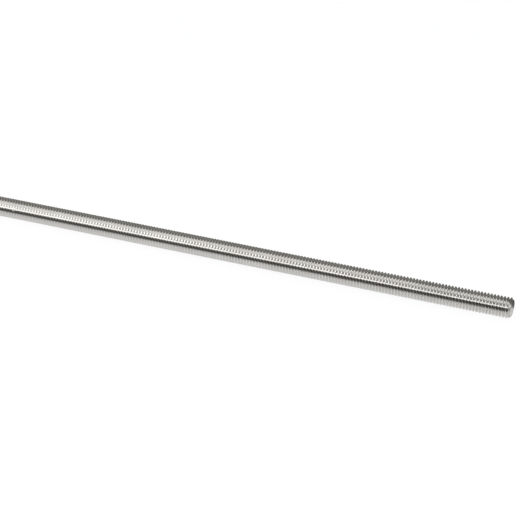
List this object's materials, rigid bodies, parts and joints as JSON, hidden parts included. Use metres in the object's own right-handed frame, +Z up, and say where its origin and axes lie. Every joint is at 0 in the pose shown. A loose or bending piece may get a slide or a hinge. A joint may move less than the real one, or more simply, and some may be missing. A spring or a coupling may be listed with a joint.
{
  "type": "threaded rod",
  "caption": "Straight steel rod with a metric coarse right-hand thread along its whole length and a small chamfer at each end, for clamping, hanging and spacing with nuts.",
  "frame": {"origin": "middle of the rod, on its axis", "axes": "+X along the rod, towards the end that the picture shows; +Z up; the rod is round about X"},
  "size_m": [0.25, 0.0078, 0.0078],
  "materials": {
    "rod_steel": "bare rolled stainless steel, satin to bright"
  },
  "bodies": {
    "root": {"threaded_rod": "rod_steel"}
  },
  "joints": []
}
